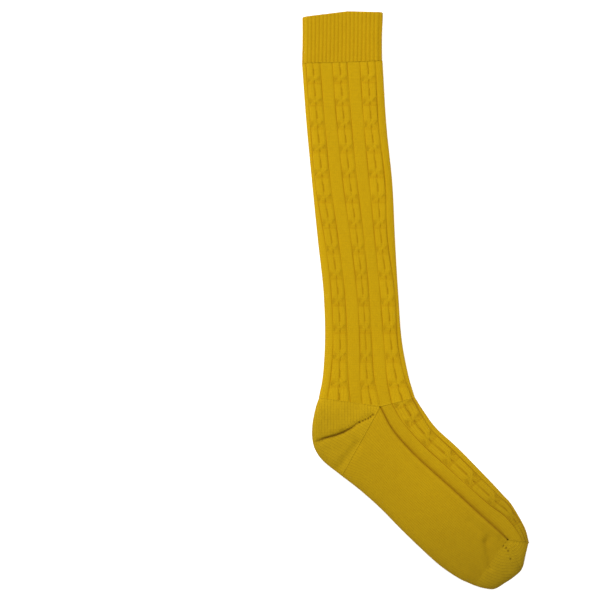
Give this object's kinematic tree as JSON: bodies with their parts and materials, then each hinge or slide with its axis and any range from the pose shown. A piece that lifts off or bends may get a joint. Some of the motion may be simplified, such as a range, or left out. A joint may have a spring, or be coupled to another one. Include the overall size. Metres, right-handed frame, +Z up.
{
  "type": "knee-high sock",
  "caption": "Knee-high knitted sock lying flat: ribbed cuff, leg and instep in cables and plain ribs, smooth heel pocket, sole and toe pocket, open at the top.",
  "frame": {"origin": "middle of the overall box in plan, on the surface that the sock lies on", "axes": "+X towards the instep side of the leg, +Y from the foot up the leg to the cuff, +Z up from the surface, out of the upper layer"},
  "size_m": [0.2086, 0.5306, 0.0088],
  "materials": {
    "cuff_yarn": "matt mustard-yellow yarn in a one by one rib",
    "leg_yarn": "matt mustard-yellow yarn in cables and plain ribs",
    "heel_yarn": "matt mustard-yellow yarn in fine plain knitting",
    "foot_yarn": "matt mustard-yellow yarn, plain below and cabled above",
    "toe_yarn": "matt mustard-yellow yarn in fine plain knitting"
  },
  "bodies": {
    "root": {"cuff": "cuff_yarn", "leg": "leg_yarn", "heel": "heel_yarn", "foot": "foot_yarn", "toe": "toe_yarn"}
  },
  "joints": []
}
